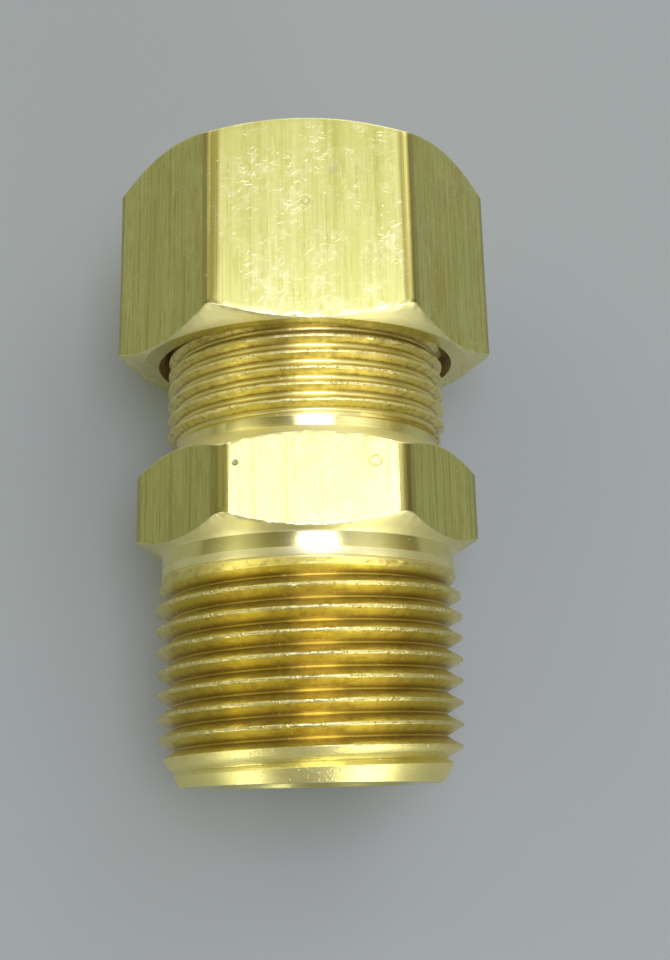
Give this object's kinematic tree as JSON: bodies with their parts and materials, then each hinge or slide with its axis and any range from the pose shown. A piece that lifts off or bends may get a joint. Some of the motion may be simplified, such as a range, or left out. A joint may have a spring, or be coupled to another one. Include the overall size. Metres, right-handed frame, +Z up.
{
  "type": "compression connector",
  "caption": "Straight brass compression connector: tube socket with a hexagon nut and sleeve at one end, male tapered pipe thread at the other.",
  "frame": {"origin": "centre of the fitting's box on the surface it lies on, under the axis", "axes": "+Y along the fitting's axis from the pipe thread to the nut, +Z up through the nut's upper flat, which is the side the picture shows"},
  "size_m": [0.0346, 0.0554, 0.0302],
  "materials": {
    "body_brass": "machined",
    "nut_brass": "drawn bar, machined ends",
    "sleeve_brass": "turned"
  },
  "bodies": {
    "connector": {"connector_body": "body_brass"},
    "sleeve": {"compression_sleeve": "sleeve_brass"},
    "nut": {"compression_nut": "nut_brass"}
  },
  "joints": [
    {"name": "nut_travel", "type": "slide", "parent": "connector", "child": "sleeve", "axis": [0, 1, 0], "range_m": [0, 0.00847]},
    {"name": "nut_turn", "type": "hinge", "parent": "sleeve", "child": "nut", "pos_m": [0, 0.01835, 0.01508], "axis": [0, 1, 0], "range_deg": [0, 2160]}
  ],
  "couplings": [
    {"joint": "nut_travel", "follows": "nut_turn", "m_per_rad": 0.00022459}
  ]
}
